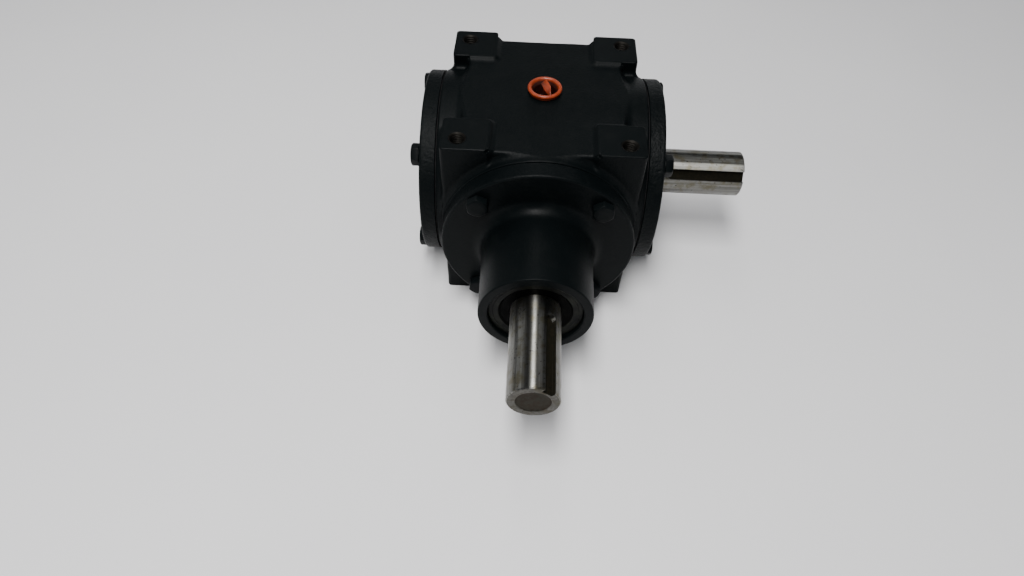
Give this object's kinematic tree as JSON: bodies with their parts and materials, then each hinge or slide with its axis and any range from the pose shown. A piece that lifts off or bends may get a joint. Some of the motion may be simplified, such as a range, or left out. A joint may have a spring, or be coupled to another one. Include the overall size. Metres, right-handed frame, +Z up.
{
  "type": "right-angle bevel gearbox",
  "caption": "Cube-shaped cast-iron right-angle gearbox: a keyed shaft from a long round snout, a keyed shaft from a side cover, padded corners and an orange filler plug.",
  "frame": {"origin": "on the base, in the plane of the four feet, under the point where the two shaft axes cross", "axes": "+Z up; the input shaft comes out along -Y; the output shaft comes out along +X"},
  "size_m": [0.2553, 0.2889, 0.1491],
  "materials": {
    "casting_paint": "dark slate machinery enamel over rough cast iron, semi-gloss",
    "screw_paint": "steel screw heads painted over with the castings, worn on the corners",
    "gasket": "matt black fibre gasket, edge only",
    "ground_steel": "ground and turned steel with dark handling stains and light rust at the end face",
    "bearing_steel": "hardened and ground bearing steel",
    "gear_steel": "cut and case-hardened steel, oiled",
    "seal_rubber": "nitrile rubber over a pressed steel case, dull",
    "plug_plastic": "moulded orange polyethylene",
    "plug_steel": "steel pipe plug, phosphated"
  },
  "bodies": {
    "housing": {"drain_plug": "plug_steel", "filler_plug": "plug_plastic", "front_cover": "casting_paint", "front_cover_screw_1": "screw_paint", "front_cover_screw_2": "screw_paint", "front_cover_screw_3": "screw_paint", "front_cover_screw_4": "screw_paint", "front_gasket": "gasket", "housing": "casting_paint", "input_inner_bearing_cup": "bearing_steel", "input_oil_seal": "seal_rubber", "input_outer_bearing_cup": "bearing_steel", "input_seal_spring": "bearing_steel", "left_cover": "casting_paint", "left_cover_screw_1": "screw_paint", "left_cover_screw_2": "screw_paint", "left_cover_screw_3": "screw_paint", "left_cover_screw_4": "screw_paint", "left_gasket": "gasket", "level_plug": "plug_steel", "output_left_bearing_cup": "bearing_steel", "output_oil_seal": "seal_rubber", "output_right_bearing_cup": "bearing_steel", "output_seal_spring": "bearing_steel", "right_cover": "casting_paint", "right_cover_screw_1": "screw_paint", "right_cover_screw_2": "screw_paint", "right_cover_screw_3": "screw_paint", "right_cover_screw_4": "screw_paint", "right_gasket": "gasket"},
    "input_shaft_assembly": {"input_bevel_gear": "gear_steel", "input_gear_key": "gear_steel", "input_inner_bearing_cone": "bearing_steel", "input_lock_nut": "gear_steel", "input_lock_washer": "gear_steel", "input_outer_bearing_cone": "bearing_steel", "input_retaining_ring": "bearing_steel", "input_shaft": "ground_steel"},
    "output_shaft_assembly": {"output_bevel_gear": "gear_steel", "output_gear_key": "gear_steel", "output_left_bearing_cone": "bearing_steel", "output_right_bearing_cone": "bearing_steel", "output_shaft": "ground_steel", "output_spacer": "gear_steel"},
    "input_inner_rollers": {"input_inner_bearing_rollers": "bearing_steel"},
    "input_outer_rollers": {"input_outer_bearing_rollers": "bearing_steel"},
    "output_right_rollers": {"output_right_bearing_rollers": "bearing_steel"},
    "output_left_rollers": {"output_left_bearing_rollers": "bearing_steel"}
  },
  "joints": [
    {"name": "input_spin", "type": "hinge", "parent": "housing", "child": "input_shaft_assembly", "pos_m": [0, 0, 0.0735], "axis": [0, 1, 0], "continuous": true},
    {"name": "output_spin", "type": "hinge", "parent": "housing", "child": "output_shaft_assembly", "pos_m": [0, 0, 0.0735], "axis": [1, 0, 0], "continuous": true},
    {"name": "input_inner_roller_spin", "type": "hinge", "parent": "housing", "child": "input_inner_rollers", "pos_m": [0, 0, 0.0735], "axis": [0, 1, 0], "continuous": true},
    {"name": "input_outer_roller_spin", "type": "hinge", "parent": "housing", "child": "input_outer_rollers", "pos_m": [0, 0, 0.0735], "axis": [0, 1, 0], "continuous": true},
    {"name": "output_right_roller_spin", "type": "hinge", "parent": "housing", "child": "output_right_rollers", "pos_m": [0, 0, 0.0735], "axis": [1, 0, 0], "continuous": true},
    {"name": "output_left_roller_spin", "type": "hinge", "parent": "housing", "child": "output_left_rollers", "pos_m": [0, 0, 0.0735], "axis": [1, 0, 0], "continuous": true}
  ],
  "couplings": [
    {"joint": "output_spin", "follows": "input_spin", "ratio": -1},
    {"joint": "input_inner_roller_spin", "follows": "input_spin", "ratio": 0.435},
    {"joint": "input_outer_roller_spin", "follows": "input_spin", "ratio": 0.435},
    {"joint": "output_right_roller_spin", "follows": "input_spin", "ratio": -0.435},
    {"joint": "output_left_roller_spin", "follows": "input_spin", "ratio": -0.435}
  ]
}
